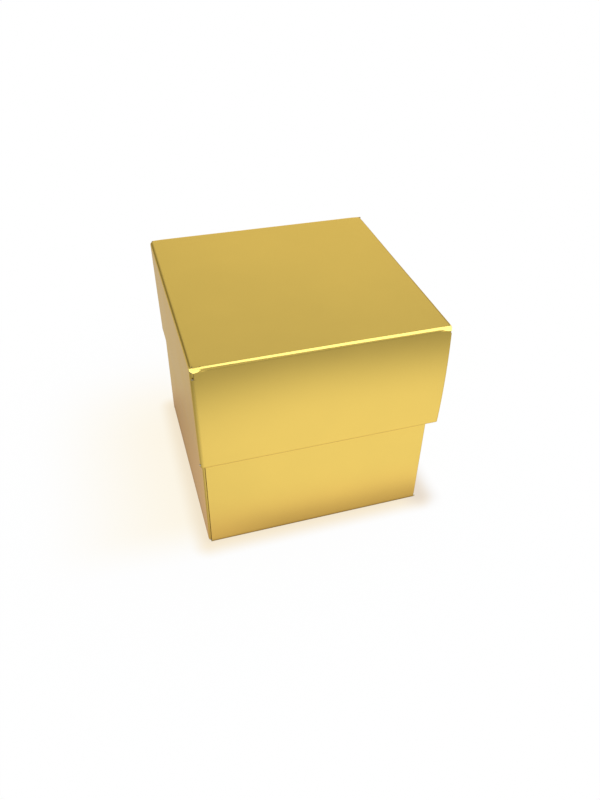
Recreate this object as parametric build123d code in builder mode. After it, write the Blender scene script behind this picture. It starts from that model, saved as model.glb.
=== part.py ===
"""Two-piece favor box: a square base and a telescoping lid, each folded from one die-cut sheet of foil card.

Millimetres, +Z up, origin at the centre of the base's underside, front wall towards -Y.

Each sheet is a tray. Its front and back walls roll over at the rim and stand doubled, with a pocket between
their two layers. Its left and right walls are single, and end in flaps that turn the corner and tuck into
those pockets. The lid is the same tray, wider, shallower and upside down. Where a scored fold ends one panel
the next one starts, so each panel is a piece of its own that meets its neighbours face to face.
"""

import os
from dataclasses import dataclass
from math import cos, radians, sin

from build123d import *

# The box
base_side = 50.0  # outside width and depth of the base
base_height = 49.0  # from the table to the base's rolled rim
lid_height = 25.0  # from the lid's top to its rolled rim
lid_clearance = 0.2  # between the base's front and back walls and the lid's inner walls
lid_left_gap = 0.3  # between the base's left wall and the lid's, because the lid sits to the right
lid_seat_gap = 0.1  # between the base's rim and the underside of the lid's top
lid_bow = 4.6  # degrees that the lid's front and back walls lean out where they leave the top

# The card and its folds
card = 0.3  # thickness of the sheet
fold_radius = 0.45  # inside radius of the folds round the bottom and the top panel
corner_radius = 0.45  # inside radius of the upright folds between a side wall and its flaps
pocket_play = 0.05  # room on each side of a flap in its pocket
wall_end_gap = 0.6  # from the outside of a side wall back to the doubled wall's cut end
edge_gap = 0.3  # between a cut edge and the fold or wall that it stands against

# The cut edges
flap_length = 17.0  # from the outside of the side wall to the flap's free end
flap_taper = 2.5  # how far the flap narrows towards its free end, above and below
flap_nose_radius = 1.5  # rounding of the flap's two free corners
foot_chamfer = 1.5  # cut off the foot corners of the rolled-in walls

# Sizes that follow from those
fold_outside = fold_radius + card
corner_outside = corner_radius + card
pocket = card + 2 * pocket_play
rim_radius = card + pocket / 2
lid_side = base_side + 2 * (lid_clearance + 2 * rim_radius)
lid_shift = lid_side / 2 - card - base_side / 2 - lid_left_gap
lid_top = base_height + lid_seat_gap + card

LEFT, RIGHT = Vector(-1, 0, 0), Vector(1, 0, 0)
FRONT, BACK = Vector(0, -1, 0), Vector(0, 1, 0)
UP, DOWN = Vector(0, 0, 1), Vector(0, 0, -1)


@dataclass
class Tray:
    """One folded sheet: where its main panel lies, which way its walls stand, and its outside size."""

    name: str
    panel_name: str
    centre: Vector  # middle of the main panel's outside face
    rimward: Vector  # from the main panel towards the rim
    side: float
    height: float
    bow: float  # degrees that the doubled walls lean out where they leave the main panel

    def section_plane(self, outward):
        """Plane across a wall: X points out of the tray and Y from the main panel to the rim."""
        return Plane(self.centre, x_dir=outward, z_dir=outward.cross(self.rimward))

    def panel_edge(self, lean=0.0):
        """From the middle of the main panel to the fold of a wall that leans out by this many degrees."""
        return self.side / 2 - fold_outside * cos(radians(lean))

    def save(self, part, piece):
        """Labels a finished piece and writes it out under its own name."""
        part.label = f"{self.name}_{piece}"
        export_step(part, f"parts/{part.label}.step")


def make_main_panel(tray):
    """The flat square between the four folds: the base's bottom or the lid's top."""
    with BuildPart() as main_panel:
        with BuildSketch(Plane(tray.centre, x_dir=RIGHT, z_dir=tray.rimward)):
            Rectangle(2 * tray.panel_edge(), 2 * tray.panel_edge(tray.bow))
        extrude(amount=card)
    tray.save(main_panel.part, tray.panel_name)


def make_doubled_wall(tray, outward, piece):
    """The outer layer of a doubled wall: its fold, the wall, which bows out on the lid, and the rolled rim."""
    wall_height = tray.height - (fold_outside + rim_radius) * (1 - sin(radians(tray.bow)))
    with BuildPart() as doubled_wall:
        with BuildSketch(tray.section_plane(outward)):
            with BuildLine():
                fold = JernArc((tray.panel_edge(tray.bow), 0), (1, 0), fold_outside, 90 - tray.bow)
                if tray.bow:
                    bow_radius = wall_height / (2 * sin(radians(tray.bow)))
                    wall = JernArc(fold @ 1, fold % 1, bow_radius, 2 * tray.bow)
                else:
                    wall = Line(fold @ 1, fold @ 1 + Vector(0, wall_height))
                JernArc(wall @ 1, wall % 1, rim_radius, 180 - tray.bow)
                offset(amount=card, side=Side.LEFT)
            make_face()
        extrude(amount=tray.side / 2 - wall_end_gap, both=True)
    tray.save(doubled_wall.part, piece)


def make_inner_wall(tray, outward, piece):
    """The rolled-in layer of a doubled wall, from the rim's roll to just short of the main panel."""
    inside_face = tray.side / 2 - rim_radius * (1 + cos(radians(tray.bow)))
    along = tray.rimward.cross(outward)
    length = tray.side - 2 * (corner_outside + edge_gap)
    foot = card + edge_gap
    roll_end = tray.height - rim_radius
    with BuildPart() as inner_wall:
        with BuildSketch(Plane(tray.centre + outward * inside_face, x_dir=along, z_dir=outward)) as outline:
            with Locations((0, (foot + roll_end) / 2)):
                Rectangle(length, roll_end - foot)
            chamfer(outline.vertices().group_by(Axis.Y)[0], foot_chamfer)
        extrude(amount=card)
    tray.save(inner_wall.part, piece)


def make_side_wall(tray, outward, piece):
    """A single wall, from its fold to a cut edge just under the doubled walls' rim."""
    cut_edge = tray.height - rim_radius - edge_gap
    half_length = tray.side / 2 - card - pocket_play - corner_outside
    with BuildPart() as side_wall:
        with BuildSketch(tray.section_plane(outward)):
            with BuildLine():
                fold = JernArc((tray.panel_edge(), 0), (1, 0), fold_outside, 90)
                Line(fold @ 1, (tray.side / 2, cut_edge))
                offset(amount=card, side=Side.LEFT)
            make_face()
        extrude(amount=half_length, both=True)
    tray.save(side_wall.part, piece)


def make_corner_flap(tray, side, end, piece):
    """A tapered flap in its pocket, with the upright fold that joins it to its side wall."""
    low = fold_outside + edge_gap
    high = tray.height - rim_radius - edge_gap
    middle = tray.centre + tray.rimward * ((low + high) / 2)
    half_height = (high - low) / 2
    wall_face = tray.side / 2
    flap_face = tray.side / 2 - card - pocket_play
    free_end = wall_face - flap_length
    with BuildPart() as corner_flap:
        with BuildSketch(Plane(middle, x_dir=side, z_dir=side.cross(end))):
            with BuildLine():
                fold = JernArc((wall_face, flap_face - corner_outside), (0, 1), corner_outside, 90)
                Line(fold @ 1, (free_end, flap_face))
                offset(amount=card, side=Side.LEFT)
            make_face()
        extrude(amount=half_height, both=True)
        with BuildSketch(Plane(middle, x_dir=side, z_dir=end)) as outline:
            with BuildLine():
                Polyline(
                    (wall_face, half_height),
                    (wall_face - corner_outside, half_height),
                    (free_end, half_height - flap_taper),
                    (free_end, flap_taper - half_height),
                    (wall_face - corner_outside, -half_height),
                    (wall_face, -half_height),
                    close=True,
                )
            make_face()
            fillet(outline.vertices().group_by(Axis.X)[0], flap_nose_radius)
        extrude(amount=wall_face, mode=Mode.INTERSECT)
    tray.save(corner_flap.part, piece)


def make_tray(tray):
    """All the panels of one folded sheet."""
    make_main_panel(tray)
    for end_name, end in (("front", FRONT), ("back", BACK)):
        make_doubled_wall(tray, end, f"{end_name}_wall")
        make_inner_wall(tray, end, f"{end_name}_inner_wall")
    for side_name, side in (("left", LEFT), ("right", RIGHT)):
        make_side_wall(tray, side, f"{side_name}_wall")
        for end_name, end in (("front", FRONT), ("back", BACK)):
            make_corner_flap(tray, side, end, f"{end_name}_{side_name}_flap")


base = Tray("base", "bottom_panel", Vector(0, 0, 0), UP, base_side, base_height, bow=0)
lid = Tray("lid", "top_panel", Vector(lid_shift, 0, lid_top), DOWN, lid_side, lid_height, lid_bow)

os.makedirs("parts", exist_ok=True)
for tray in (base, lid):
    make_tray(tray)
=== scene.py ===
"""A square favor box of satin gold foil card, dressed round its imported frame.

The base and the lid are each one sheet of card, foil on its outside and white board on its inside, folded
into a tray. Each panel of the two sheets is a piece of its own, and stands for the frame's panel of that
name. Lengths are in metres, in the frame's own axes: +Z up, and the front towards -Y.
"""

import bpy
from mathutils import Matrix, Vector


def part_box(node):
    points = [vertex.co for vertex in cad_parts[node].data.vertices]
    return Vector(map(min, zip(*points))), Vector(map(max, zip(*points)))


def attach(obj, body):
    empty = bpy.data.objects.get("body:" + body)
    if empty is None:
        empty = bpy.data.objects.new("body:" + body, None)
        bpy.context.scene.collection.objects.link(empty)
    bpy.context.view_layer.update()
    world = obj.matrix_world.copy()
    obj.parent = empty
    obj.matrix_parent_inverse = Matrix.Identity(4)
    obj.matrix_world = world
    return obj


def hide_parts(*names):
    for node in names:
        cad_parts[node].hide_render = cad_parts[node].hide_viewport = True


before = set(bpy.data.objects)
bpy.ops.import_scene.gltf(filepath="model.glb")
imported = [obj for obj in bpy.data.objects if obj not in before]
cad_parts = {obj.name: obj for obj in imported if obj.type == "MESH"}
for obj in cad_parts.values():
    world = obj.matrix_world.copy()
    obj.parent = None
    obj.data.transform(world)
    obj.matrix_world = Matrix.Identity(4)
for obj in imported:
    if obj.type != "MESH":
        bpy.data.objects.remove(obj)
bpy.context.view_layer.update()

import math

import bmesh
import bpy
from bpy.props import FloatProperty, FloatVectorProperty, IntProperty, PointerProperty
from mathutils import Matrix, Vector, noise

bl_info = {
    "name": "Favor Box",
    "version": (1, 0, 0),
    "blender": (4, 5, 0),
    "location": "3D View > Sidebar > Favor Box",
    "description": "Folds a gold foil favor box round its packed frame and sets it on a studio floor",
    "category": "Add Mesh",
}

MM = 0.001
LEFT, RIGHT = Vector((-1, 0, 0)), Vector((1, 0, 0))
FRONT, BACK = Vector((0, -1, 0)), Vector((0, 1, 0))
ENDS = {"front": FRONT, "back": BACK}
SIDES = {"left": LEFT, "right": RIGHT}
BLACK, WHITE = (0, 0, 0, 1), (1, 1, 1, 1)

# The card
BOARD, CUT = 1, 2  # places of these finishes in card_materials, after the foil
SHARP_ANGLE = math.radians(40)  # a wider step between two faces is shaded as an edge
SKEW_PIVOT = 0.7  # share of the lid's depth at which its skew moves nothing
CORNER_ZONE = (0.9, 0.94)  # shares of the lid's half width and half depth past which its corners sink
EAR_ROOT = 1 / 3  # share of a fold's height, below its panel, at which the shaping of its ends starts
PICK_SLACK = 0.02 * MM  # less than any step between vertices, for picking those along a line
SHORT_STEPS = 2  # faces along a short straight run
END_STEPS = 3  # how many times finer a doubled wall is divided along its length, for its shaped ends

# Bands on the floor, in metres along X, over which a painted tint or a painted shade comes or goes
LEFT_FOOT = (-0.026, -0.02)
RIGHT_FOOT = (0.02, 0.027)
LEFT_TO_MIDDLE = (-0.035, 0)
LEFT_OF_FRONT = (-0.03, -0.005)
PAST_CORNERS = (0.029, 0.035)  # on either side

# Bands on the floor along Y
FRONT_FOOT = (-0.026, -0.022)
FRONT_TO_MIDDLE = (-0.06, 0)
# where the painted warm shadow on the floor begins and ends
PAINTED_SHADOW_FRONT = (-0.03, -0.016)
PAINTED_SHADOW_BACK = (0.01, 0.06)
CORNER_FRONT = (-0.031, -0.024)
CLOSE_BEHIND = (0.03, 0.055)
FAR_BEHIND = (0.06, 0.15)
OFF_FRONT_LINE = (0.004, 0.014)  # from the front wall's foot line, either way

# The floor besides
FLOOR_DROP = 0.06 * MM  # how far it lies under the box, so that the two don't share a plane
# these shape the floor's painted image in the foil, a painted reflection
FAR_SHARE = 0.55  # how bright the foil mirrors it far behind the box, against close behind
POOL_FADE = (0.15, 1)  # shares of the pool's reach between which it fades
MIRROR_SHARE = 0.9  # share of its mirror image that is painted, where the rest is lit

# Bands of the room's directions, from -1 to 1 along an axis, over which its brightness changes
ROOM_BACKWARDS = (-0.2, 0.6)
ROOM_LEFT = (-0.55, 0.2)
ROOM_RIGHT = (0.4, 0.7)
ROOM_LOW = (0.4, 0.62)
ROOM_BEHIND = (0.5, 0.7)

# The camera
SENSOR_LENGTH = 36.0  # millimetres along the frame's long side
CAMERA_NEAR = 0.01  # nothing nearer is drawn


def length_of(node, axis):
    """How long a node is along one of the frame's axes."""
    low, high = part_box(node)
    return high[axis] - low[axis]


class Tray:
    """One folded sheet, measured on the frame: its main panel's place, the way its walls stand, its sizes."""

    def __init__(self, body, panel):
        self.body = body
        self.panel = panel
        low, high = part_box(panel)
        front_low, front_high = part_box(f"{body}_front_wall")
        inner_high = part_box(f"{body}_front_inner_wall")[1]
        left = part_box(f"{body}_left_wall")[0].x
        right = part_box(f"{body}_right_wall")[1].x
        stands_up = front_high.z - high.z > low.z - front_low.z
        self.rimward = Vector((0, 0, 1 if stands_up else -1))
        self.centre = Vector(((left + right) / 2, (low.y + high.y) / 2, low.z if stands_up else high.z))
        self.side = right - left
        self.height = front_high.z - front_low.z
        self.card = high.z - low.z
        self.fold = (self.side - (high.x - low.x)) / 2
        self.rim = (self.side / 2 + inner_high.y) / 2
        self.wall_end = length_of(f"{body}_left_wall", 1) / 2
        self.corner = length_of(f"{body}_front_left_flap", 1)
        self.flap_depth = self.side / 2 - self.wall_end - self.corner
        bow = -front_low.y - self.side / 2
        self.lean = 2 * math.atan(2 * bow / (self.height - self.fold - self.rim))

    def across(self, outward):
        """From a wall's own axes to the frame's: X along the wall, Y out of the tray, Z from panel to rim."""
        along = outward.cross(self.rimward)
        return Matrix.Translation(self.centre) @ Matrix((along, outward, self.rimward)).transposed().to_4x4()


BASE = Tray("base", "base_bottom_panel")
LID = Tray("lid", "lid_top_panel")
TRAYS = (BASE, LID)


class FavorBoxCard(bpy.types.PropertyGroup):
    """Sizes and colours of the folded card."""

    bend_steps: IntProperty(
        name="Bend steps", description="Faces across a quarter turn of a fold", default=16, min=3, max=32
    )
    panel_steps: IntProperty(
        name="Panel steps", description="Faces along a panel", default=48, min=4, max=200
    )
    ripple: FloatProperty(
        name="Ripple", description="How far the card strays from flat", default=0.05 * MM, unit="LENGTH"
    )
    ripple_length: FloatProperty(
        name="Ripple length", description="Distance between ripples", default=22 * MM, unit="LENGTH"
    )
    ripple_seed: IntProperty(
        name="Ripple seed", description="Picks the pattern of the ripples, the same in each run", default=3,
        min=1,
    )
    lid_skew: FloatProperty(
        name="Lid skew", description="How far the lid's rim hangs to the right of its top", default=0.36 * MM,
        unit="LENGTH",
    )
    lid_corner_droop: FloatProperty(
        name="Lid corner droop", description="How far the corners of the lid's top sink", default=0.12 * MM,
        unit="LENGTH",
    )
    lid_corner_lift: FloatProperty(
        name="Lid corner lift", description="How far the lid's back left corner rides up", default=0.2 * MM,
        unit="LENGTH",
    )
    lid_crown: FloatProperty(
        name="Lid crown", description="How far the middle of the lid's top swells", default=0.1 * MM,
        unit="LENGTH",
    )
    base_splay: FloatProperty(
        name="Base splay", description="How far the foot of the base's left wall stands out",
        default=0.15 * MM, unit="LENGTH",
    )
    ear_gap: FloatVectorProperty(
        name="Ear gap", description="From the outside of the box to a doubled fold's left and right end",
        size=2, subtype="XYZ_LENGTH", default=(0.03 * MM, 0.48 * MM),
    )
    ear_height: FloatProperty(
        name="Ear height", description="Height in which the end of a doubled wall is cut back under its fold",
        default=0.35 * MM, unit="LENGTH",
    )
    ear_length: FloatProperty(
        name="Ear length", description="How far along the wall its end is shaped", default=3.2 * MM,
        unit="LENGTH",
    )
    ear_slope: FloatProperty(
        name="Ear slope", description="How steeply the ends of the lid's folds spring out", default=1.1
    )
    ear_flare: FloatVectorProperty(
        name="Ear flare", description="Height in which the left and right ends of the lid's folds spring out",
        size=2, subtype="XYZ_LENGTH", default=(0.34 * MM, 0.3 * MM),
    )
    ear_tuck: FloatProperty(
        name="Ear tuck", description="Height in which a sprung end turns back to the wall", default=0.12 * MM,
        unit="LENGTH",
    )
    end_zone: FloatProperty(
        name="End zone", description="How far below its fold a doubled wall is finely divided",
        default=3.6 * MM, unit="LENGTH",
    )
    shoulder_height: FloatProperty(
        name="Shoulder height", description="How far below its fold a side wall reaches on round the corner",
        default=0.25 * MM, unit="LENGTH",
    )
    shoulder_turn: FloatProperty(
        name="Shoulder turn", description="How far that reach turns round the corner",
        default=math.radians(45), subtype="ANGLE", unit="ROTATION",
    )
    # reach along the wall of the painted shade beside a slit under an ear
    slit_shade_reach: FloatProperty(
        name="Edge wear", description="How far along the wall the foil is worn beside a slit",
        default=0.25 * MM, unit="LENGTH",
    )
    slit_foot: FloatVectorProperty(
        name="Slit foot", description="From the lid's top to the foot of the slits under its ears",
        size=2, subtype="XYZ_LENGTH", default=(2.3 * MM, 1.2 * MM),
    )
    wrap_angle: FloatVectorProperty(
        name="Wrap", description="Turn of the lid's doubled walls round the corner, left and right",
        size=2, subtype="EULER", default=(math.radians(40), math.radians(20)),
    )
    bead_radius: FloatProperty(
        name="Bead radius", description="Outside radius of the base's left upright folds", default=0.34 * MM,
        unit="LENGTH",
    )
    bead_dive: FloatProperty(
        name="Bead dive", description="Turn of those folds past square, behind the doubled wall",
        default=math.radians(52), subtype="ANGLE", unit="ROTATION",
    )
    dive_radius: FloatProperty(
        name="Dive radius", description="Radius of the bend that straightens a flap after its dive",
        default=0.3 * MM, unit="LENGTH",
    )
    foot_chamfer: FloatProperty(
        name="Foot chamfer", description="Cut off the foot corners of the rolled-in walls",
        default=1.5 * MM, unit="LENGTH",
    )
    flap_taper: FloatProperty(
        name="Flap taper", description="How far a flap narrows towards its free end", default=2.5 * MM,
        unit="LENGTH",
    )
    rim_press: FloatProperty(
        name="Rim press", description="How far the side walls' cut rims are pressed inwards",
        default=math.radians(25), subtype="ANGLE", unit="ROTATION",
    )
    foil_colour: FloatVectorProperty(
        name="Foil", description="Gold of the foil seen straight on", subtype="COLOR", size=4,
        min=0, max=1, default=(0.895, 0.637, 0.145, 1),
    )
    foil_glance: FloatVectorProperty(
        name="Foil at a glance", description="Tint of the foil's sheen at a flat angle", subtype="COLOR",
        size=4, min=0, max=1, default=(1, 0.84, 0.56, 1),
    )
    foil_roughness: FloatProperty(
        name="Foil roughness", description="Softness of the foil's shine", subtype="FACTOR", min=0, max=1,
        default=0.24,
    )
    # how much the foil darkens with painted shade and wear along the rims, slits and corner folds
    fold_wear_and_shade: FloatProperty(
        name="Fold wear", description="How much the foil dulls along the rims and the slits",
        subtype="FACTOR", min=0, max=1, default=0.8,
    )
    # share of that painted shade and wear along the upright corner folds
    corner_wear_and_shade: FloatProperty(
        name="Corner wear", description="Share of that along the upright corner folds", subtype="FACTOR",
        min=0, max=1, default=0.5,
    )
    board_colour: FloatVectorProperty(
        name="Board", description="White of the card's unprinted side", subtype="COLOR", size=4,
        min=0, max=1, default=(0.82, 0.8, 0.75, 1),
    )
    cut_colour: FloatVectorProperty(
        name="Cut edge", description="Core of the card along a cut", subtype="COLOR", size=4,
        min=0, max=1, default=(0.5, 0.4, 0.22, 1),
    )


class FavorBoxStage(bpy.types.PropertyGroup):
    """Floor, light and camera."""

    floor_colour: FloatVectorProperty(
        name="Floor", description="Colour of the floor", subtype="COLOR", size=4,
        min=0, max=1, default=(0.97, 0.96, 0.945, 1),
    )
    # a painted warm shadow on the floor, on the box's shadow side
    painted_shadow_glow: FloatVectorProperty(
        name="Floor glow", description="Warm tint of the floor on the box's shadow side", subtype="COLOR",
        size=4, min=0, max=1, default=(1, 0.94, 0.81, 1),
    )
    # a painted warm contact shadow on the floor close to the foil
    painted_contact_shadow: FloatVectorProperty(
        name="Floor edge", description="Tint of the floor close to the foil", subtype="COLOR", size=4,
        min=0, max=1, default=(0.97, 0.86, 0.68, 1),
    )
    # a painted shadow on the floor beside the right wall's foot
    painted_corner_shadow: FloatVectorProperty(
        name="Floor corner", description="Tint of the floor beside the right wall's foot", subtype="COLOR",
        size=4, min=0, max=1, default=(0.78, 0.69, 0.6, 1),
    )
    floor_reach: FloatProperty(
        name="Floor reach", description="How far the floor reaches", default=0.6, unit="LENGTH"
    )
    painted_shadow_reach: FloatProperty(
        name="Glow reach", description="How far the warm tint reaches on the shadow side", default=0.04,
        unit="LENGTH",
    )
    painted_contact_reach: FloatProperty(
        name="Edge reach", description="How far the tint close to the foil reaches", default=0.005,
        unit="LENGTH",
    )
    painted_corner_reach: FloatProperty(
        name="Corner reach", description="How far the tint beside the right wall's foot reaches",
        default=0.0072, unit="LENGTH",
    )
    shadow_reach: FloatProperty(
        name="Shadow reach", description="How far from the box its shadow shows", default=0.07, unit="LENGTH"
    )
    edge_shadow: FloatProperty(
        name="Edge shadow", description="How much more of the real shadow shows close to the foil",
        subtype="FACTOR", min=0, max=1, default=0.12,
    )
    floor_whiteness: FloatProperty(
        name="Floor whiteness", description="Share of the floor by the box that shows as plain white",
        subtype="FACTOR", min=0, max=1, default=0.97,
    )
    # the pool and the shades below are painted into the floor's image in the foil, a painted reflection
    pool_place: FloatVectorProperty(
        name="Pool place", description="Middle of the bright pool on the floor", size=3,
        subtype="TRANSLATION", default=(0.021, -0.052, 0.0),
    )
    pool_reach: FloatVectorProperty(
        name="Pool reach", description="How far the bright pool reaches", size=2, subtype="XYZ_LENGTH",
        default=(0.143, 0.081),
    )
    pool_edge: FloatVectorProperty(
        name="Pool edge", description="Brightness of the floor past the pool, in front and elsewhere", size=2,
        min=0, max=1, default=(0.31, 0.6),
    )
    pool_behind: FloatProperty(
        name="Pool behind", description="How much brighter the floor is behind the box than beside it",
        default=1.6,
    )
    foot_shade: FloatVectorProperty(
        name="Foot shade", description="How much darker the foil is at its foot, in front and elsewhere",
        size=2, min=0, max=1, default=(0.36, 0.2),
    )
    foot_left: FloatProperty(
        name="Foot left", description="Share of that shade towards the left", subtype="FACTOR", min=0, max=1,
        default=0.35,
    )
    foot_reach: FloatProperty(
        name="Foot reach", description="How far from the box that shade reaches", default=0.009, unit="LENGTH"
    )
    # a painted warm reflection of the floor at the foil's foot
    painted_foot_warmth: FloatVectorProperty(
        name="Foot tint", description="Tint of the floor that the foil mirrors at its foot", subtype="COLOR",
        size=4, min=0, max=1, default=(1, 0.87, 0.92, 1),
    )
    painted_warmth_reach: FloatProperty(
        name="Warm reach", description="How far from the box that tint reaches", default=0.014, unit="LENGTH"
    )
    contact_shade: FloatVectorProperty(
        name="Contact shade", description="How much darker the foil's foot line is, in front and elsewhere",
        size=2, min=0, max=1, default=(0.75, 0.3),
    )
    contact_reach: FloatProperty(
        name="Contact reach", description="How far from the box that line reaches", default=0.0012,
        unit="LENGTH",
    )
    corner_shade: FloatProperty(
        name="Corner shade", description="How much darker the foil's front corners mirror the floor",
        subtype="FACTOR", min=0, max=1, default=0.25,
    )
    room_horizon: FloatProperty(name="Room horizon", description="Brightness behind the box", default=1.12)
    room_fall: FloatProperty(
        name="Room fall", description="How much darker the room is overhead", subtype="FACTOR", min=0, max=1,
        default=0.77,
    )
    room_front: FloatProperty(
        name="Room in front", description="Share of that brightness in front of the box", subtype="FACTOR",
        min=0, max=1, default=0.6,
    )
    room_sides: FloatVectorProperty(
        name="Room to the sides", description="Share of that brightness low behind, to the left and right",
        size=2, min=0, max=1, default=(0.2, 0.3),
    )
    key_radiance: FloatProperty(name="Key", description="Brightness of the soft box", default=2.24)
    key_colour: FloatVectorProperty(
        name="Key colour", description="Cool white of the soft box", subtype="COLOR", size=3, min=0, max=1,
        default=(0.78, 0.87, 1),
    )
    key_size: FloatVectorProperty(
        name="Key size", description="Width and height of the soft box", size=2, subtype="XYZ_LENGTH",
        default=(0.56, 0.56),
    )
    key_place: FloatVectorProperty(
        name="Key place", description="Where the soft box hangs", size=3, subtype="TRANSLATION",
        default=(0.2, -0.105, 0.41),
    )
    camera_place: FloatVectorProperty(
        name="Camera place", description="Where the camera stands", size=3, subtype="TRANSLATION",
        default=(-0.03743, -0.12783, 0.12518),
    )
    camera_heading: FloatProperty(
        name="Camera heading", description="Turn of the view to the right of straight back", subtype="ANGLE",
        unit="ROTATION", default=math.radians(17.728),
    )
    camera_dip: FloatProperty(
        name="Camera dip", description="How far the view looks down", subtype="ANGLE", unit="ROTATION",
        default=math.radians(39.283),
    )
    camera_roll: FloatProperty(
        name="Camera roll", description="Tilt of the camera", subtype="ANGLE", unit="ROTATION",
        default=math.radians(1.128),
    )
    camera_lens: FloatProperty(
        name="Lens", description="Focal length on a frame with a 36 mm long side", default=31.686,
        unit="CAMERA",
    )


class Wire:
    """A socket's value in a graph. Arithmetic on it adds Math nodes."""

    def __init__(self, graph, socket):
        self.graph = graph
        self.socket = socket

    def math(self, operation, first, second):
        return self.graph.node("Math", {"operation": operation}, {0: first, 1: second})

    def __add__(self, other):
        return self.math("ADD", self, other)

    def __sub__(self, other):
        return self.math("SUBTRACT", self, other)

    def __rsub__(self, other):
        return self.math("SUBTRACT", other, self)

    def __mul__(self, other):
        return self.math("MULTIPLY", self, other)

    def at_least(self, other):
        return self.math("MAXIMUM", self, other)

    def size(self):
        return self.math("ABSOLUTE", self, 0.0)

    __radd__ = __add__
    __rmul__ = __mul__


class Graph:
    """A material's or a world's nodes in the making."""

    def __init__(self, owner):
        owner.use_nodes = True
        self.tree = owner.node_tree
        self.tree.nodes.clear()

    def node(self, kind, settings=None, inputs=None, output=0):
        """Adds a node, sets it, feeds its sockets with numbers or wires, and gives back one output."""
        node = self.tree.nodes.new(f"ShaderNode{kind}")
        for name, value in (settings or {}).items():
            setattr(node, name, value)
        for name, value in (inputs or {}).items():
            if isinstance(value, Wire):
                self.tree.links.new(value.socket, node.inputs[name])
            else:
                node.inputs[name].default_value = value
        return Wire(self, node.outputs[output]) if len(node.outputs) else node

    def object_place(self):
        return self.node("TexCoord", output="Object")

    def noise(self, wavelength, detail):
        """Soft random values between 0 and 1 that change over this length."""
        inputs = {"Vector": self.object_place(), "Scale": 1 / wavelength, "Detail": detail}
        return self.node("TexNoise", inputs=inputs, output="Fac")

    def axes(self, place):
        """A place's three coordinates."""
        node = self.node("SeparateXYZ", inputs={0: place}).socket.node
        return [Wire(self, socket) for socket in node.outputs]

    def vector(self, operation, *values):
        return self.node("VectorMath", {"operation": operation}, dict(enumerate(values)))

    def length(self, value):
        return self.node("VectorMath", {"operation": "LENGTH"}, {0: value}, output="Value")

    def ease(self, value, ends, results):
        """Goes smoothly from the first result to the second as a value goes from one end to the other."""
        names = ("From Min", "From Max", "To Min", "To Max")
        inputs = dict(zip(names, (*ends, *results)), Value=value)
        return self.node("MapRange", {"interpolation_type": "SMOOTHSTEP"}, inputs)

    def rise(self, value, band):
        """Goes smoothly from 0 to 1 over a band of values."""
        return self.ease(value, band, (0, 1))

    def fall(self, value, band):
        """Goes smoothly from 1 to 0 over a band of values."""
        return self.ease(value, band, (1, 0))

    def mix_colour(self, share, first, second):
        """Goes from the first colour to the second."""
        return self.node("Mix", {"data_type": "RGBA"}, {0: share, 6: first, 7: second}, output=2)

    def tinted(self, first, second):
        """One colour seen through another."""
        settings = {"data_type": "RGBA", "blend_type": "MULTIPLY"}
        return self.node("Mix", settings, {0: 1.0, 6: first, 7: second}, output=2)

    def bump(self, height, strength, distance):
        """A normal tilted by small heights."""
        return self.node("Bump", inputs={"Height": height, "Strength": strength, "Distance": distance})

    def finish(self, surface, kind="Material"):
        self.node(f"Output{kind}", inputs={"Surface": surface})


def shaded(colour, factor):
    """A colour made darker or lighter, its alpha kept."""
    return tuple(channel * factor for channel in colour[:3]) + (colour[3],)


def new_material(name):
    material = bpy.data.materials.new(name)
    return material, Graph(material)


def gold_foil(card):
    """Satin gold foil: a soft metal shine with the card's fibres faintly showing through, rougher along its
    wear marks and darker there with painted shade as well as wear.
    """
    material, graph = new_material("gold_foil")
    cloud_length, grain_length, fibre_length = 9 * MM, 1.6 * MM, 0.35 * MM
    cloud_roughness, fibre_roughness, wear_roughness = 0.07, 0.05, 0.1
    dark, bright, worn_and_shaded = (shaded(card.foil_colour, factor) for factor in (0.96, 1.03, 0.3))
    grain_height, bump_strength, bump_height = 0.8, 0.12, 0.01 * MM
    cloud = graph.noise(cloud_length, detail=3.0)
    fibre = graph.noise(fibre_length, detail=3.0)
    # the wear attribute marks rims, upright corner folds and slits: the foil is rougher there with wear, and
    # darker with painted shade as well as wear
    wear_and_shade = graph.node("Attribute", {"attribute_name": "wear_and_shade"}, output="Fac")
    colour = graph.mix_colour(cloud, dark, bright)
    colour = graph.mix_colour(wear_and_shade * card.fold_wear_and_shade, colour, worn_and_shaded)
    smoothest = card.foil_roughness - (cloud_roughness + fibre_roughness) / 2
    relief = fibre + grain_height * graph.noise(grain_length, detail=2.0)
    surface = graph.node("BsdfPrincipled", inputs={
        "Base Color": colour,
        "Metallic": 1.0,
        "Roughness": smoothest + cloud_roughness * cloud + fibre_roughness * fibre + wear_roughness * wear_and_shade,
        "Specular Tint": tuple(card.foil_glance),
        "Normal": graph.bump(relief, bump_strength, bump_height),
    })
    graph.finish(surface)
    return material


def white_board(card):
    """The card's unprinted side: matt off-white with a fibrous tooth."""
    material, graph = new_material("white_board")
    cloud_length, fibre_length = 4 * MM, 0.3 * MM
    cloud_share, fibre_share = 0.6, 0.4
    smoothest, fibre_roughness = 0.8, 0.15
    bump_strength, bump_height = 0.3, 0.02 * MM
    dark = shaded(card.board_colour, 0.93)
    fibre = graph.noise(fibre_length, detail=4.0)
    cloud = graph.noise(cloud_length, detail=3.0)
    surface = graph.node("BsdfPrincipled", inputs={
        "Base Color": graph.mix_colour(cloud_share * cloud + fibre_share * fibre, dark, card.board_colour),
        "Roughness": smoothest + fibre_roughness * fibre,
        "Normal": graph.bump(fibre, bump_strength, bump_height),
    })
    graph.finish(surface)
    return material


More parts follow.
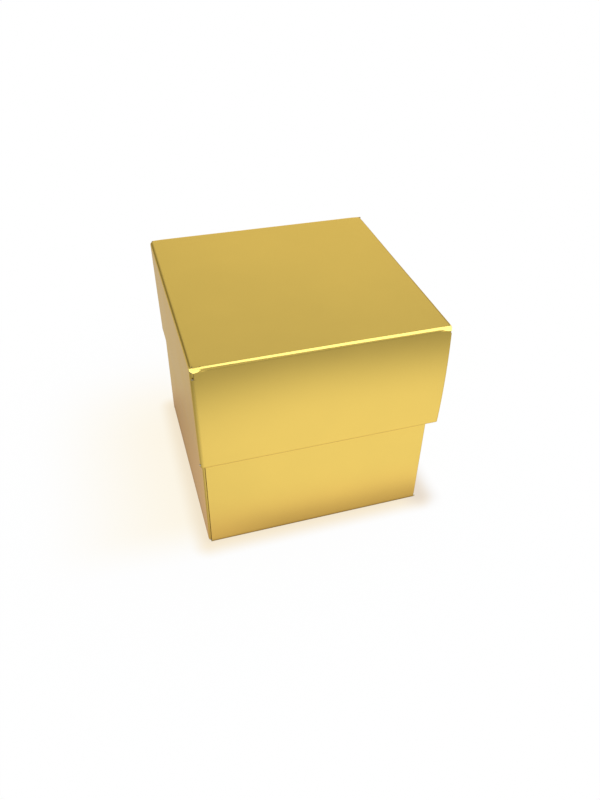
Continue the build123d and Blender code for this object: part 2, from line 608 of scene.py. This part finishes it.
def cut_edge(card):
    """The card's core where the die has cut it: matt, and finely mottled."""
    material, graph = new_material("cut_edge")
    mottle_length, roughness = 0.12 * MM, 0.9
    dark = shaded(card.cut_colour, 0.8)
    colour = graph.mix_colour(graph.noise(mottle_length, detail=2.0), dark, card.cut_colour)
    surface = graph.node("BsdfPrincipled", inputs={"Base Color": colour, "Roughness": roughness})
    graph.finish(surface)
    return material


def card_materials(card):
    """The three finishes of the card, made once: foil outside, board inside, core along the cuts."""
    makers = {"gold_foil": gold_foil, "white_board": white_board, "cut_edge": cut_edge}
    return [bpy.data.materials.get(name) or make(card) for name, make in makers.items()]


class Section:
    """A card's cross-section, drawn from one vertex by straight runs and bends, then swept along X."""

    def __init__(self, length, start):
        self.mesh = bmesh.new()
        # per vertex, how much the foil is worn and darkened with painted shade
        self.wear_and_shade = self.mesh.verts.layers.float.new("wear_and_shade")
        self.length = length
        self.heading = 0.0
        self.tip = self.mesh.verts.new((-length / 2, *start))

    def grow(self, centre, step, angle, steps):
        last = bmesh.ops.spin(
            self.mesh, geom=[self.tip], cent=centre, axis=RIGHT, dvec=step, angle=angle, steps=steps
        )["geom_last"]
        self.tip = last[0]

    def run(self, length, steps):
        step = Vector((0, math.cos(self.heading), math.sin(self.heading))) * length / steps
        self.grow(self.tip.co, step, 0, steps)

    def bend(self, radius, angle, steps):
        """A bend to the left, or with both below 0 to the right. Gives back its new vertices."""
        inward = Vector((0, -math.sin(self.heading), math.cos(self.heading)))
        straight = set(self.mesh.verts)
        self.grow(self.tip.co + inward * radius, Vector(), angle, steps)
        self.heading += angle
        return [vert for vert in self.mesh.verts if vert not in straight]

    def stretch(self, length, turn, steps):
        """A straight run, or one that bows by this angle from its start to its end."""
        if turn:
            self.bend(length / turn, turn, steps)
        else:
            self.run(length, steps)

    def crease(self, radius, angle, steps, wear_and_shade=1.0):
        """A bend tight enough to dull the foil, most at its middle: rougher with wear, and darker with
        painted shade as well as wear.
        """
        for index, vert in enumerate(self.bend(radius, angle, steps), start=1):
            vert[self.wear_and_shade] = wear_and_shade * math.sin(math.pi * index / steps)

    def sweep(self, steps):
        bmesh.ops.spin(
            self.mesh, geom=self.mesh.verts[:] + self.mesh.edges[:], cent=(0, 0, 0), axis=RIGHT,
            dvec=RIGHT * self.length / steps, angle=0, steps=steps,
        )
        return self.mesh


def ease(value, start, stop):
    """Goes smoothly from 0 at the start to 1 at the stop."""
    share = min(max((value - start) / (stop - start), 0), 1)
    return share * share * (3 - 2 * share)


def crowded(share):
    """Draws evenly spaced shares, from -1 to 1, closer together towards both ends."""
    return (3 * share - share**3) / 2


def settle(mesh, tray, card):
    """Lets a sheet stray from flat: ripples, the lid's skew, corners and crown, and the base's splay."""
    noise.seed_set(card.ripple_seed)
    half = tray.side / 2
    for vert in mesh.verts:
        place = vert.co - tray.centre
        across, deep = place.x / half, place.y / half
        depth = min(max(place.dot(tray.rimward) / tray.height, 0), 1)
        stray = noise.noise_vector(vert.co / card.ripple_length) * card.ripple
        if tray is LID:
            crown = (max(1 - across**2, 0) * max(1 - deep**2, 0)) ** 2
            corner = ease(abs(across), CORNER_ZONE[0], 1) * ease(abs(deep), CORNER_ZONE[1], 1)
            stray.x += card.lid_skew * (depth - SKEW_PIVOT)
            stray.z += card.lid_corner_lift * (1 - across) * (1 + deep) / 4
            stray.z += card.lid_crown * crown - card.lid_corner_droop * corner * (1 - depth)
        else:
            stray *= depth
            stray.x += card.base_splay * min(across, 0) * (1 - depth)
        vert.co += stray


def face_towards(mesh, outward):
    """Turns a sheet over if most of it looks the other way."""
    mesh.normal_update()
    facing = sum((face.normal * face.calc_area() for face in mesh.faces), Vector())
    if facing.dot(outward) < 0:
        bmesh.ops.reverse_faces(mesh, faces=mesh.faces)


def make_piece(mesh, tray, node, card, foil_side):
    """Settles a sheet, gives it the card's thickness and finishes, and puts it in its panel's place."""
    face_towards(mesh, foil_side)
    settle(mesh, tray, card)
    data = bpy.data.meshes.new(node)
    mesh.to_mesh(data)
    mesh.free()
    for material in card_materials(card):
        data.materials.append(material)
    sheet = bpy.data.objects.new(f"{node}_sheet", data)
    bpy.context.scene.collection.objects.link(sheet)
    thickness = sheet.modifiers.new("Card", "SOLIDIFY")
    thickness.thickness = tray.card
    thickness.offset = -1
    thickness.use_even_offset = True
    thickness.material_offset = BOARD
    thickness.material_offset_rim = CUT
    depsgraph = bpy.context.evaluated_depsgraph_get()
    solid = bpy.data.meshes.new_from_object(sheet.evaluated_get(depsgraph))
    sheet.modifiers.clear()
    sheet.data = solid
    bpy.data.meshes.remove(data)
    solid.name = sheet.name
    solid.shade_smooth()
    solid.set_sharp_from_angle(angle=SHARP_ANGLE)
    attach(sheet, tray.body)
    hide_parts(node)


def shape_wall_ends(mesh, tray, card):
    """Shapes the two ends of a doubled wall.

    Its fold runs nearly to the outside of the box, and below that the wall is cut back. On the lid the fold's
    ends also spring out as ears, and below the slits under them the wall wraps a little round the corner.
    """
    wear_and_shade = mesh.verts.layers.float["wear_and_shade"]
    outside = tray.side / 2
    half = max(vert.co.x for vert in mesh.verts)
    ear_root = tray.fold * EAR_ROOT
    wrap_start = outside - tray.corner
    wrap_radius = tray.corner + tray.flap_depth
    for vert in mesh.verts:
        share = vert.co.x / half
        right = share > 0
        along = half * abs(crowded(share))
        near_end = ease(along, half - card.ear_length, half)
        at_end = ease(along, half - card.slit_shade_reach, half)
        cut_back = ease(vert.co.z, ear_root, ear_root + card.ear_height)
        along += (outside - card.ear_gap[right] - half) * near_end * (1 - cut_back)
        if tray is LID:
            ear_foot, slit_foot = ear_root + card.ear_flare[right], card.slit_foot[right]
            rise = min(max(vert.co.z, ear_root), ear_foot) - ear_root
            tuck = ease(vert.co.z, ear_foot, ear_foot + card.ear_tuck)
            vert.co.y += card.ear_slope * near_end**2 * rise * (1 - tuck)
            wrap = ease(vert.co.z, slit_foot - card.ear_tuck / 2, slit_foot + card.ear_tuck / 2)
            along += (wrap_start + wrap_radius * card.wrap_angle[right] - half) * near_end * wrap
            turn = max(along - wrap_start, 0) / wrap_radius * wrap
            if turn:
                along = wrap_start + wrap_radius * math.sin(turn) / wrap
                vert.co.y -= wrap_radius * (1 - math.cos(turn)) / wrap
            # beside each slit the foil is darkened with painted shade; round a wrapped corner with painted
            # shade as well as wear
            slit_shade = at_end * tuck * (1 - wrap)
            wrap_wear_and_shade = card.corner_wear_and_shade * turn / card.wrap_angle[0]
            vert[wear_and_shade] = max(vert[wear_and_shade], slit_shade, wrap_wear_and_shade)
        vert.co.x = math.copysign(along, share)


class FavorBoxOperator:
    """What the operators share."""

    bl_options = {"REGISTER", "UNDO"}

    @property
    def card(self):
        return bpy.context.scene.favor_box_card


class FAVORBOX_OT_main_panels(FavorBoxOperator, bpy.types.Operator):
    """Lay the base's bottom and the lid's top"""

    bl_idname = "favor_box.main_panels"
    bl_label = "Main panels"

    def execute(self, context):
        steps = self.card.panel_steps
        for tray in TRAYS:
            low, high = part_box(tray.panel)
            mesh = bmesh.new()
            bmesh.ops.create_grid(mesh, x_segments=steps, y_segments=steps, size=0.5)
            bmesh.ops.scale(mesh, vec=(high.x - low.x, high.y - low.y, 1), verts=mesh.verts)
            bmesh.ops.translate(mesh, vec=tray.centre, verts=mesh.verts)
            make_piece(mesh, tray, tray.panel, self.card, -tray.rimward)
        return {"FINISHED"}


class FAVORBOX_OT_doubled_walls(FavorBoxOperator, bpy.types.Operator):
    """Fold up the front and back walls and roll their rims"""

    bl_idname = "favor_box.doubled_walls"
    bl_label = "Doubled walls"

    def execute(self, context):
        card = self.card
        for tray in TRAYS:
            lean = tray.lean
            wall_height = tray.height - (tray.fold + tray.rim) * (1 - math.sin(lean))
            wall_length = wall_height * lean / math.sin(lean) if lean else wall_height
            for end, outward in ENDS.items():
                node = f"{tray.body}_{end}_wall"
                section = Section(length_of(node, 0), (tray.side / 2 - tray.fold * math.cos(lean), 0))
                section.bend(tray.fold, math.pi / 2 - lean, card.bend_steps)
                top = card.end_zone / wall_height
                for share in (top, 1 - top):
                    section.stretch(wall_length * share, 2 * lean * share, card.panel_steps)
                # the rolled rim is darkened with painted shade as well as wear, which draws the line between
                # lid and base
                section.crease(tray.rim, math.pi - lean, 2 * card.bend_steps)
                mesh = section.sweep(END_STEPS * card.panel_steps)
                shape_wall_ends(mesh, tray, card)
                bmesh.ops.transform(mesh, matrix=tray.across(outward), verts=mesh.verts)
                make_piece(mesh, tray, node, card, outward)
        return {"FINISHED"}


class FAVORBOX_OT_inner_walls(FavorBoxOperator, bpy.types.Operator):
    """Set the rolled-in layers of the front and back walls"""

    bl_idname = "favor_box.inner_walls"
    bl_label = "Rolled-in walls"

    def execute(self, context):
        card = self.card
        steps = card.panel_steps
        for tray in TRAYS:
            for end, outward in ENDS.items():
                node = f"{tray.body}_{end}_inner_wall"
                low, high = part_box(node)
                inside = tray.side / 2 - 2 * tray.rim
                middle = ((low + high) / 2 - tray.centre).dot(tray.rimward)
                length, height = high.x - low.x, high.z - low.z
                mesh = bmesh.new()
                bmesh.ops.create_grid(mesh, x_segments=steps, y_segments=steps, size=0.5)
                bmesh.ops.scale(mesh, vec=(length, height, 1), verts=mesh.verts)
                for way in (-1, 1):
                    corner = Vector((way * (length / 2 - card.foot_chamfer), -height / 2, 0))
                    bmesh.ops.bisect_plane(
                        mesh, geom=mesh.verts[:] + mesh.edges[:] + mesh.faces[:], plane_co=corner,
                        plane_no=(way, -1, 0), clear_outer=True,
                    )
                upright = Matrix.Rotation(math.pi / 2, 4, "X")
                place = tray.across(outward) @ Matrix.Translation((0, inside, middle)) @ upright
                bmesh.ops.transform(mesh, matrix=place, verts=mesh.verts)
                make_piece(mesh, tray, node, card, -outward)
        return {"FINISHED"}


class FAVORBOX_OT_side_walls(FavorBoxOperator, bpy.types.Operator):
    """Fold up the single walls on the left and the right"""

    bl_idname = "favor_box.side_walls"
    bl_label = "Side walls"

    def execute(self, context):
        card = self.card
        for tray in TRAYS:
            for side, outward in SIDES.items():
                node = f"{tray.body}_{side}_wall"
                section = Section(length_of(node, 1), (tray.side / 2 - tray.fold, 0))
                section.bend(tray.fold, math.pi / 2, card.bend_steps)
                section.run(card.shoulder_height, SHORT_STEPS)
                pressed = tray.fold * math.sin(card.rim_press)
                section.run(length_of(node, 2) - tray.fold - card.shoulder_height - pressed, card.panel_steps)
                # the cut rim is darkened with painted shade as well as wear, which draws the line between lid
                # and base
                for vert in section.bend(tray.fold, card.rim_press, card.bend_steps // 2):
                    vert[section.wear_and_shade] = 1
                mesh = section.sweep(card.panel_steps)
                self.turn_shoulders(mesh, tray, card)
                bmesh.ops.transform(mesh, matrix=tray.across(outward), verts=mesh.verts)
                make_piece(mesh, tray, node, card, outward)
        return {"FINISHED"}

    def turn_shoulders(self, mesh, tray, card):
        """Carries a side wall's fold a little way round the corner at either end."""
        half = max(vert.co.x for vert in mesh.verts)
        foot = tray.fold + card.shoulder_height + PICK_SLACK / 2
        for way in (-1, 1):
            end = [vert for vert in mesh.verts if half - way * vert.co.x < PICK_SLACK and vert.co.z < foot]
            edges = [edge for edge in mesh.edges if all(vert in end for vert in edge.verts)]
            bmesh.ops.spin(
                mesh, geom=end + edges, cent=(way * half, tray.side / 2 - tray.corner, 0), axis=(0, 0, 1),
                angle=-way * card.shoulder_turn, steps=card.bend_steps // 2,
            )


class FAVORBOX_OT_corner_flaps(FavorBoxOperator, bpy.types.Operator):
    """Turn the side walls' flaps round the corners and into their pockets"""

    bl_idname = "favor_box.corner_flaps"
    bl_label = "Corner flaps"

    def execute(self, context):
        card = self.card
        for tray in TRAYS:
            for end, forward in ENDS.items():
                for side, outward in SIDES.items():
                    self.make_flap(tray, f"{tray.body}_{end}_{side}_flap", forward, outward, card)
        return {"FINISHED"}

    def make_flap(self, tray, node, forward, outward, card):
        """A tapered flap, with the upright fold that joins it to its side wall."""
        low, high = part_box(node)
        height = high.z - low.z
        wall_face = tray.side / 2
        free_end = wall_face - (high.x - low.x)
        section = Section(height, (tray.wall_end, -wall_face))
        if tray is BASE and outward == LEFT:
            root = self.draw_bead(section, tray, card)
        else:
            # the upright corner fold is darkened with painted shade as well as wear
            section.crease(tray.corner, math.pi / 2, card.bend_steps, card.corner_wear_and_shade)
            root = wall_face - tray.corner
        section.run(root - free_end, card.panel_steps // 2)
        mesh = section.sweep(card.panel_steps)
        for way in (-1, 1):
            bmesh.ops.bisect_plane(
                mesh, geom=mesh.verts[:] + mesh.edges[:] + mesh.faces[:],
                plane_co=(way * height / 2, 0, -root),
                plane_no=(way * (root - free_end), 0, card.flap_taper), clear_outer=True,
            )
        axes = Matrix((forward.cross(-outward), forward, -outward)).transposed().to_4x4()
        origin = Vector((tray.centre.x, tray.centre.y, (low.z + high.z) / 2))
        bmesh.ops.transform(mesh, matrix=Matrix.Translation(origin) @ axes, verts=mesh.verts)
        make_piece(mesh, tray, node, card, forward)

    def draw_bead(self, section, tray, card):
        """An upright fold, nearly flush with the doubled wall, that dives behind that wall's cut end."""
        dive, radii = card.bead_dive, card.bead_radius + card.dive_radius
        sink = tray.flap_depth - radii * (1 - math.cos(dive))
        section.run(tray.side / 2 - sink - card.bead_radius - tray.wall_end, SHORT_STEPS)
        # the bead's fold is darkened with painted shade as well as wear
        section.crease(card.bead_radius, math.pi / 2 + dive, 2 * card.bend_steps, card.corner_wear_and_shade)
        section.bend(-card.dive_radius, -dive, card.bend_steps)
        return tray.side / 2 - card.bead_radius - radii * math.sin(dive)


class FAVORBOX_OT_stage(FavorBoxOperator, bpy.types.Operator):
    """Set the floor, the light and the camera"""

    bl_idname = "favor_box.stage"
    bl_label = "Stage"

    def execute(self, context):
        stage = context.scene.favor_box_stage
        self.make_floor(stage)
        self.make_world(context.scene, stage)
        self.make_key(context.scene, stage)
        self.make_camera(context.scene, stage)
        context.scene.view_settings.view_transform = "Standard"
        return {"FINISHED"}

    def make_floor(self, stage):
        """A pale sheet under the box: white to the eye, with painted shadows and warm tints near it over a
        share of its real shadow, and a painted image of its own in the foil.
        """
        mesh = bmesh.new()
        bmesh.ops.create_grid(mesh, x_segments=1, y_segments=1, size=stage.floor_reach)
        bmesh.ops.translate(mesh, vec=(0, 0, -FLOOR_DROP), verts=mesh.verts)
        data = bpy.data.meshes.new("floor")
        mesh.to_mesh(data)
        mesh.free()
        material, graph = new_material("pale_floor")
        half = BASE.side / 2
        place = graph.object_place()
        across, deep = graph.axes(place)[:2]
        outside = graph.vector("SUBTRACT", graph.vector("ABSOLUTE", place), (half, half, 0))
        beside = graph.length(graph.vector("MAXIMUM", outside, (0, 0, 0)))
        # painted shadows and warm light on the floor: a warm shadow to the left, a contact shadow at the
        # edge, a shadow by the right foot
        in_shade = graph.fall(across, LEFT_FOOT) * graph.fall(beside, (0, stage.painted_shadow_reach))
        in_shade = in_shade * graph.rise(deep, PAINTED_SHADOW_FRONT) * graph.fall(deep, PAINTED_SHADOW_BACK)
        at_edge = graph.fall(beside, (0, stage.painted_contact_reach))
        white_to_eye = graph.ease(beside, (0, stage.shadow_reach), (stage.floor_whiteness, 1))
        white_to_eye = white_to_eye * (1 - stage.edge_shadow * at_edge * graph.fall(across, RIGHT_FOOT))
        tint = graph.mix_colour(in_shade, WHITE, tuple(stage.painted_shadow_glow))
        tint = graph.mix_colour(at_edge, tint, tuple(stage.painted_contact_shadow))
        by_right = graph.rise(across, RIGHT_FOOT) * graph.rise(deep, CORNER_FRONT)
        at_right = by_right * graph.fall(beside, (0, stage.painted_corner_reach))
        tint = graph.mix_colour(at_right, tint, tuple(stage.painted_corner_shadow))
        lit = graph.node("BsdfPrincipled", inputs={
            "Base Color": graph.tinted(tint, tuple(stage.floor_colour)),
            "Roughness": 1.0,
            "Specular IOR Level": 0.0,
        })
        seen = graph.node("Emission", inputs={"Color": tint})
        # the foil mirrors a painted floor with a pool of light and shades, not the lit one
        painted_in_foil = graph.node("Emission", inputs={"Color": self.painted_floor_in_foil(graph, stage, place, beside)})
        by_eye = graph.node("LightPath", output="Is Camera Ray")
        by_mirror = graph.node("LightPath", output="Is Glossy Ray")
        surface = graph.node("MixShader", inputs={0: by_eye * white_to_eye, 1: lit, 2: seen})
        surface = graph.node("MixShader", inputs={0: MIRROR_SHARE * by_mirror, 1: surface, 2: painted_in_foil})
        graph.finish(surface)
        data.materials.append(material)
        floor = bpy.data.objects.new("floor", data)
        bpy.context.scene.collection.objects.link(floor)

    def painted_floor_in_foil(self, graph, stage, place, beside):
        """Painted colour of the floor in the foil, a painted reflection: a bright pool of light in front,
        painted shade and warmth at the foot.
        """
        half = BASE.side / 2
        across, deep = graph.axes(place)[:2]
        stretch = (1 / stage.pool_reach[0], 1 / stage.pool_reach[1], 0)
        from_pool = graph.vector("SUBTRACT", place, tuple(stage.pool_place))
        pool = graph.fall(graph.length(graph.vector("MULTIPLY", from_pool, stretch)), POOL_FADE)
        edge = graph.ease(deep, FRONT_TO_MIDDLE, tuple(stage.pool_edge))
        behind = graph.ease(deep, CLOSE_BEHIND, (1, stage.pool_behind))
        behind = behind * graph.ease(deep, FAR_BEHIND, (1, FAR_SHARE))
        edge = edge * (1 - graph.rise(across, LEFT_TO_MIDDLE) * (1 - behind))
        front_shade = stage.foot_shade[0] * graph.ease(across, LEFT_OF_FRONT, (stage.foot_left, 1))
        foot_shade = graph.ease(deep, FRONT_FOOT, (front_shade, stage.foot_shade[1]))
        foot = foot_shade * graph.fall(beside, (0, stage.foot_reach))
        contact_shade = graph.ease(deep, FRONT_FOOT, tuple(stage.contact_shade))
        contact = contact_shade * graph.fall(beside, (0, stage.contact_reach))
        to_side = graph.ease(across.size(), PAST_CORNERS, (0, stage.corner_shade))
        corner = to_side * graph.fall((deep + half).size(), OFF_FRONT_LINE)
        brightness = (edge + (1 - edge) * pool) * (1 - foot) * (1 - contact) * (1 - corner)
        painted_warmth = graph.fall(beside, (0, stage.painted_warmth_reach))
        return graph.mix_colour(brightness, BLACK, graph.mix_colour(painted_warmth, WHITE, tuple(stage.painted_foot_warmth)))

    def make_world(self, scene, stage):
        """A room, white to the eye, that is dimmer overhead, in front, and low behind to either side."""
        world = bpy.data.worlds.new("studio")
        scene.world = world
        graph = Graph(world)
        across, deep, height = graph.axes(graph.node("TexCoord", output="Generated"))
        glow = 1 - stage.room_fall * height.at_least(0.0)
        glow = glow * graph.ease(deep, ROOM_BACKWARDS, (stage.room_front, 1))
        sides = graph.ease(across, ROOM_LEFT, (stage.room_sides[0], 1))
        sides = sides * graph.ease(across, ROOM_RIGHT, (1, stage.room_sides[1]))
        low_behind = graph.fall(height, ROOM_LOW) * graph.rise(deep, ROOM_BEHIND)
        glow = glow * (1 - low_behind * (1 - sides))
        brightest = (stage.room_horizon, stage.room_horizon, stage.room_horizon, 1)
        room = graph.node("Background", inputs={"Color": graph.mix_colour(glow, BLACK, brightest)})
        white = graph.node("Background", inputs={"Color": WHITE})
        seen = graph.node("LightPath", output="Is Camera Ray")
        graph.finish(graph.node("MixShader", inputs={0: seen, 1: room, 2: white}), "World")

    def make_key(self, scene, stage):
        """A large soft box in front of the box, above it and to its right."""
        width, height = stage.key_size
        light = bpy.data.lights.new("key", "AREA")
        light.shape = "RECTANGLE"
        light.size = width
        light.size_y = height
        light.energy = stage.key_radiance * width * height * math.pi
        light.color = stage.key_colour
        key = bpy.data.objects.new("key", light)
        key.location = stage.key_place
        key.rotation_mode = "QUATERNION"
        key.rotation_quaternion = (-Vector(stage.key_place)).to_track_quat("-Z", "Y")
        scene.collection.objects.link(key)

    def make_camera(self, scene, stage):
        """The photograph's viewpoint."""
        data = bpy.data.cameras.new("camera")
        data.sensor_width = SENSOR_LENGTH
        data.lens = stage.camera_lens
        data.clip_start = CAMERA_NEAR
        camera = bpy.data.objects.new("camera", data)
        turn = Matrix.Rotation(-stage.camera_heading, 4, "Z")
        dip = Matrix.Rotation(math.pi / 2 - stage.camera_dip, 4, "X")
        roll = Matrix.Rotation(stage.camera_roll, 4, "Z")
        camera.matrix_world = Matrix.Translation(stage.camera_place) @ turn @ dip @ roll
        scene.collection.objects.link(camera)
        scene.camera = camera


OPERATORS = (
    FAVORBOX_OT_main_panels,
    FAVORBOX_OT_doubled_walls,
    FAVORBOX_OT_inner_walls,
    FAVORBOX_OT_side_walls,
    FAVORBOX_OT_corner_flaps,
    FAVORBOX_OT_stage,
)


class FAVORBOX_PT_panel(bpy.types.Panel):
    """The box's steps, sizes and colours"""

    bl_idname = "FAVORBOX_PT_panel"
    bl_label = "Favor Box"
    bl_space_type = "VIEW_3D"
    bl_region_type = "UI"
    bl_category = "Favor Box"

    def draw(self, context):
        for operator in OPERATORS:
            self.layout.operator(operator.bl_idname)
        for group in (context.scene.favor_box_card, context.scene.favor_box_stage):
            column = self.layout.column(align=True)
            for name in group.__annotations__:
                column.prop(group, name)


CLASSES = (FavorBoxCard, FavorBoxStage, *OPERATORS, FAVORBOX_PT_panel)


def register():
    for cls in CLASSES:
        bpy.utils.register_class(cls)
    bpy.types.Scene.favor_box_card = PointerProperty(type=FavorBoxCard)
    bpy.types.Scene.favor_box_stage = PointerProperty(type=FavorBoxStage)


def unregister():
    del bpy.types.Scene.favor_box_stage
    del bpy.types.Scene.favor_box_card
    for cls in reversed(CLASSES):
        bpy.utils.unregister_class(cls)


def main():
    register()
    bpy.ops.favor_box.main_panels()
    bpy.ops.favor_box.doubled_walls()
    bpy.ops.favor_box.inner_walls()
    bpy.ops.favor_box.side_walls()
    bpy.ops.favor_box.corner_flaps()
    bpy.ops.favor_box.stage()


if __name__ == "__main__":
    main()
